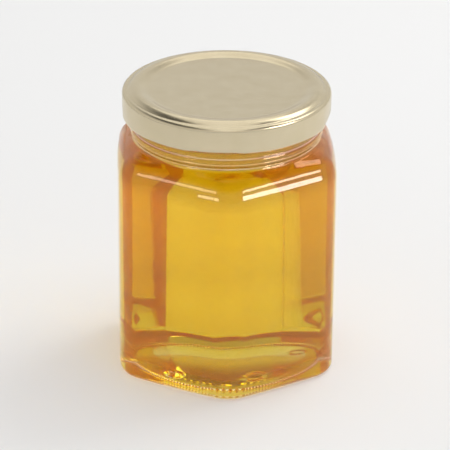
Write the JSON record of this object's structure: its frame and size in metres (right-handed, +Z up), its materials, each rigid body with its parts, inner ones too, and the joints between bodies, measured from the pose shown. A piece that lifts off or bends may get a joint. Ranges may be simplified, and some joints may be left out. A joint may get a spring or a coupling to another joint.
{
  "type": "honey jar",
  "caption": "Hexagonal clear glass jar with rounded corners and a sloping shoulder, filled with golden honey and closed by a round gold twist-off lid.",
  "frame": {"origin": "on the jar's axis, on the plane that the jar stands on", "axes": "+Z up along the axis of the neck and lid; one of the six corners of the body points along -Y, and two flat sides face +X and -X"},
  "size_m": [0.064, 0.0698, 0.0857],
  "materials": {
    "glass": "clear flint glass, fire polished",
    "honey": "clear golden liquid honey",
    "lid": "pale gold lacquered tinplate, satin"
  },
  "bodies": {
    "root": {"jar": "glass", "honey": "honey", "lid": "lid"}
  },
  "joints": []
}
